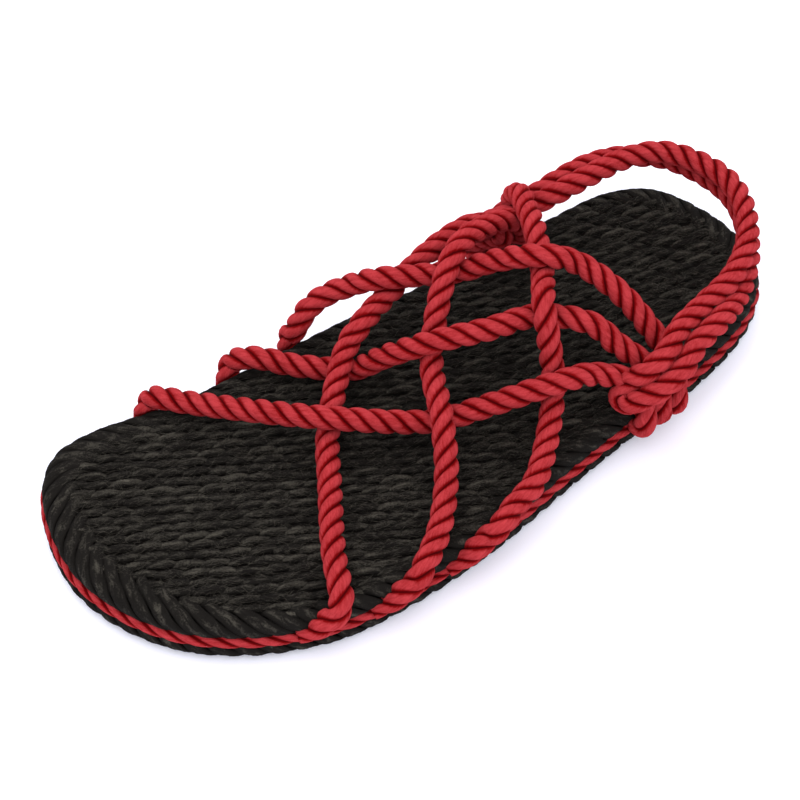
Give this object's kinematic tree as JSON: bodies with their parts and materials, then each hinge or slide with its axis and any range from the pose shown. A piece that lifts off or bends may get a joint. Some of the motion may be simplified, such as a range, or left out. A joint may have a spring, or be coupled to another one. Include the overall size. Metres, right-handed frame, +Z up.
{
  "type": "rope sandal",
  "caption": "Left-foot rope sandal: red rope straps crossing over a flat sole of black rope mats, with a doubled rope strap round the heel.",
  "frame": {"origin": "on the floor under the sole, halfway along its length", "axes": "+X to the toe, +Y to the outer side of the left foot, +Z up"},
  "size_m": [0.2752, 0.1195, 0.0632],
  "materials": {
    "red_rope": "matte laid rope of spun yarn",
    "black_rope": "matte woven mat of laid cord"
  },
  "bodies": {
    "root": {"bottom_mat": "black_rope", "top_mat": "black_rope", "edge_cord": "red_rope", "strap_net": "red_rope", "heel_strap": "red_rope"}
  },
  "joints": []
}
